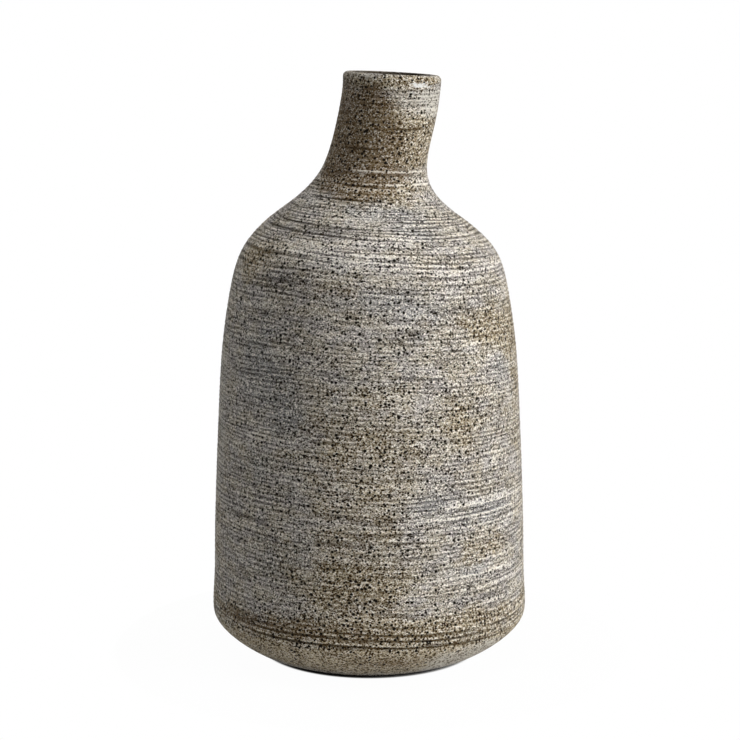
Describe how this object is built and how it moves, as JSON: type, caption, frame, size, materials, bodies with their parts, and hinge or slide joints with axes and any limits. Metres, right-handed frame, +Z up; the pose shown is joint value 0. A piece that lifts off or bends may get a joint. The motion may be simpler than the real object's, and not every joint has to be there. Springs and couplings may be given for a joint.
{
  "type": "bottle vase",
  "caption": "Tall stoneware bottle vase with a broad bevelled body, sloping shoulder and a slim neck that leans to one side, on a thin round felt pad.",
  "frame": {"origin": "on the surface that the vase stands on, under the middle of the body", "axes": "+Z up through the body, +X to the side that the neck leans to"},
  "size_m": [0.1428, 0.1428, 0.2612],
  "materials": {
    "glazed_stoneware": "rough matt glaze with dark specks over fine turned rings",
    "felt": "black pressed felt"
  },
  "bodies": {
    "root": {"stoneware_bottle": "glazed_stoneware", "felt_base_pad": "felt"}
  },
  "joints": []
}
